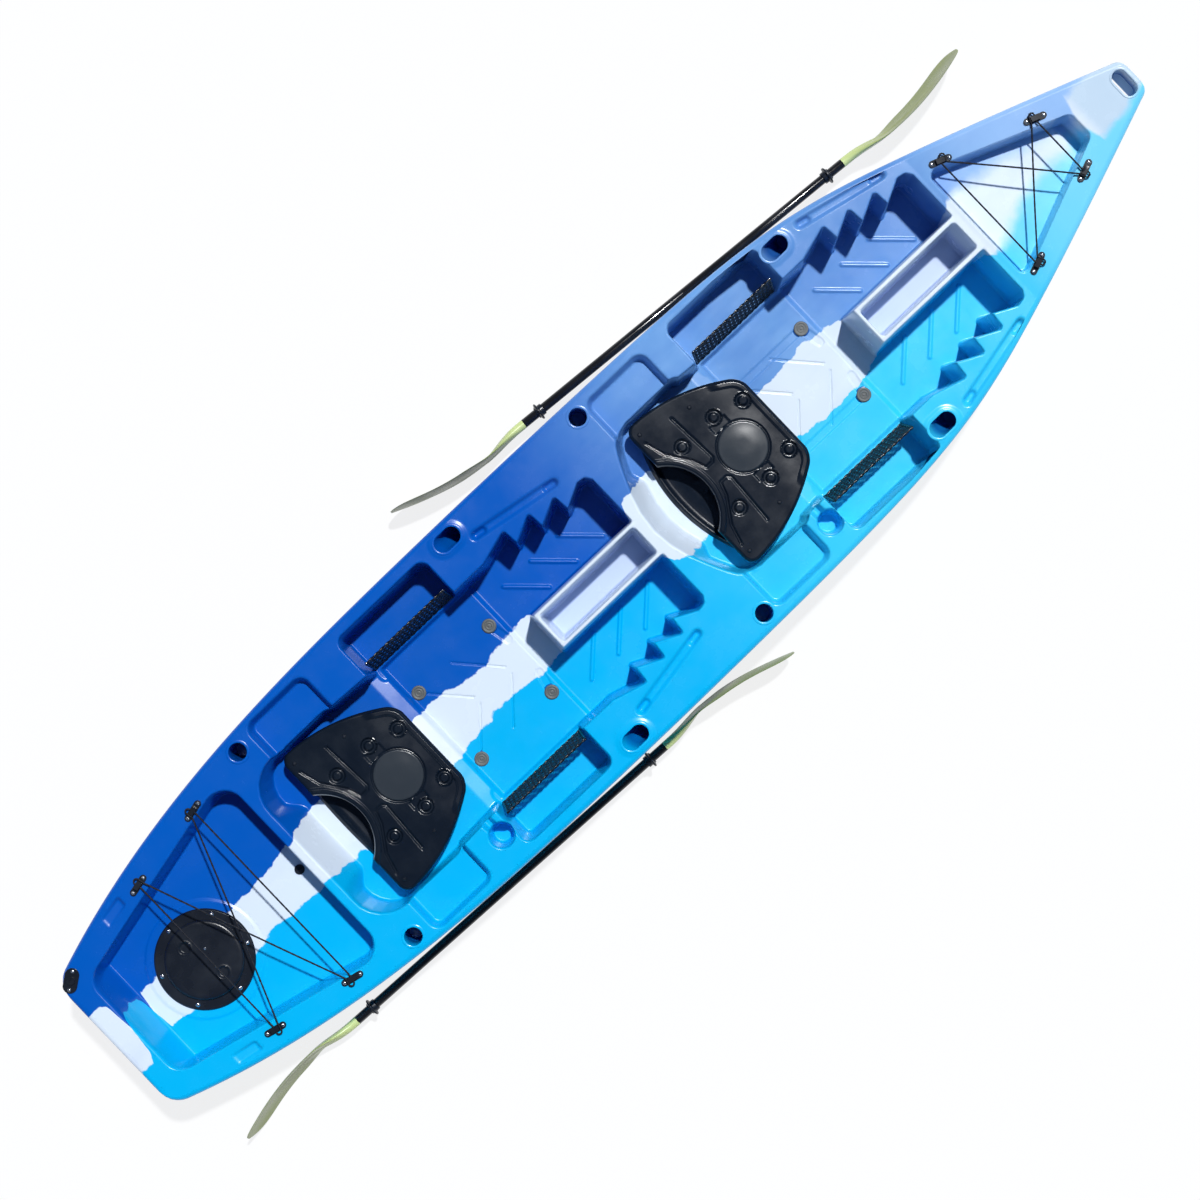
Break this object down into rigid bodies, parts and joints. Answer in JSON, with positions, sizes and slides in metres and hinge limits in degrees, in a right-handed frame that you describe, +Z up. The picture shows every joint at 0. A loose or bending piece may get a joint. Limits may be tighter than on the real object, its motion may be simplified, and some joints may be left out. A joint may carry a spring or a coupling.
{
  "type": "tandem sit-on-top kayak",
  "caption": "Hollow moulded sit-on-top kayak for two with folding seats, netted side pockets, lashed end wells, a round stern hatch and take-apart paddles.",
  "frame": {"origin": "on the flat keel under midships, half way between stem and transom", "axes": "+X to the bow, +Y to port, +Z up"},
  "size_m": [4.05, 1.1213, 0.378],
  "materials": {
    "hull_skin": "satin marbled polyethylene, royal blue to white to cyan across the boat",
    "black_moulding": "fine grained",
    "seal": "matte",
    "hinge_pin": "satin",
    "plug": "matte",
    "shock_cord": "woven sheath",
    "net": "knitted",
    "shaft": "gloss black",
    "blade": "satin"
  },
  "bodies": {
    "hull": {"hull_shell": "hull_skin", "front_seat_pan": "black_moulding", "rear_seat_pan": "black_moulding", "front_hinge_pins": "hinge_pin", "rear_hinge_pins": "hinge_pin", "hatch_rim": "black_moulding", "well_bung": "black_moulding", "drain_flange": "black_moulding", "bow_eye_1": "black_moulding", "bow_eye_2": "black_moulding", "bow_eye_3": "black_moulding", "bow_eye_4": "black_moulding", "stern_eye_1": "black_moulding", "stern_eye_2": "black_moulding", "stern_eye_3": "black_moulding", "stern_eye_4": "black_moulding", "bow_bungee": "shock_cord", "stern_bungee": "shock_cord", "net_front_port": "net", "net_front_stbd": "net", "net_rear_port": "net", "net_rear_stbd": "net"},
    "front_back": {"front_backrest": "black_moulding"},
    "rear_back": {"rear_backrest": "black_moulding"},
    "hatch_seal": {"hatch_gasket": "seal"},
    "hatch_cover": {"hatch_lid": "black_moulding"},
    "drain_stopper": {"drain_plug": "black_moulding"},
    "scupper_plug_1_body": {"scupper_plug_1": "plug"},
    "scupper_plug_2_body": {"scupper_plug_2": "plug"},
    "scupper_plug_3_body": {"scupper_plug_3": "plug"},
    "scupper_plug_4_body": {"scupper_plug_4": "plug"},
    "scupper_plug_5_body": {"scupper_plug_5": "plug"},
    "scupper_plug_6_body": {"scupper_plug_6": "plug"},
    "port_paddle": {"port_shaft_aft": "shaft", "port_blade_aft": "blade", "port_ring_aft": "seal", "port_button": "hinge_pin"},
    "port_paddle_fore_half": {"port_shaft_fore": "shaft", "port_blade_fore": "blade", "port_ring_fore": "seal"},
    "stbd_paddle": {"stbd_shaft_fore": "shaft", "stbd_blade_fore": "blade", "stbd_ring_fore": "seal"},
    "stbd_paddle_aft_half": {"stbd_shaft_aft": "shaft", "stbd_blade_aft": "blade", "stbd_ring_aft": "seal", "stbd_button": "hinge_pin"}
  },
  "joints": [
    {"name": "front_backrest_fold", "type": "hinge", "parent": "hull", "child": "front_back", "pos_m": [0.29, 0, 0.238], "axis": [0, -1, 0], "range_deg": [0, 100]},
    {"name": "rear_backrest_fold", "type": "hinge", "parent": "hull", "child": "rear_back", "pos_m": [-1.096, 0, 0.238], "axis": [0, -1, 0], "range_deg": [0, 100]},
    {"name": "hatch_lift", "type": "slide", "parent": "hull", "child": "hatch_seal", "axis": [0, 0, 1], "range_m": [0, 0.08]},
    {"name": "hatch_turn", "type": "hinge", "parent": "hatch_seal", "child": "hatch_cover", "pos_m": [-1.691, 0, 0.2136], "axis": [0, 0, 1], "range_deg": [0, 90]},
    {"name": "drain_plug_pull", "type": "slide", "parent": "hull", "child": "drain_stopper", "axis": [0, 0, 1], "range_m": [0, 0.035]},
    {"name": "scupper_plug_1_pull", "type": "slide", "parent": "hull", "child": "scupper_plug_1_body", "axis": [0, 0, 1], "range_m": [0, 0.06]},
    {"name": "scupper_plug_2_pull", "type": "slide", "parent": "hull", "child": "scupper_plug_2_body", "axis": [0, 0, 1], "range_m": [0, 0.06]},
    {"name": "scupper_plug_3_pull", "type": "slide", "parent": "hull", "child": "scupper_plug_3_body", "axis": [0, 0, 1], "range_m": [0, 0.06]},
    {"name": "scupper_plug_4_pull", "type": "slide", "parent": "hull", "child": "scupper_plug_4_body", "axis": [0, 0, 1], "range_m": [0, 0.06]},
    {"name": "scupper_plug_5_pull", "type": "slide", "parent": "hull", "child": "scupper_plug_5_body", "axis": [0, 0, 1], "range_m": [0, 0.06]},
    {"name": "scupper_plug_6_pull", "type": "slide", "parent": "hull", "child": "scupper_plug_6_body", "axis": [0, 0, 1], "range_m": [0, 0.06]},
    {"name": "port_paddle_away", "type": "slide", "parent": "hull", "child": "port_paddle", "axis": [0, 1, 0], "range_m": [0, 0.3]},
    {"name": "port_paddle_feather", "type": "hinge", "parent": "port_paddle", "child": "port_paddle_fore_half", "pos_m": [0.688, 0.456, 0.084], "axis": [0.9972, -0.075, 0], "range_deg": [-60, 60]},
    {"name": "stbd_paddle_away", "type": "slide", "parent": "hull", "child": "stbd_paddle", "axis": [0, -1, 0], "range_m": [0, 0.3]},
    {"name": "stbd_paddle_feather", "type": "hinge", "parent": "stbd_paddle", "child": "stbd_paddle_aft_half", "pos_m": [-0.9, -0.466, 0.084], "axis": [0.9995, -0.0332, 0], "range_deg": [-60, 60]}
  ]
}
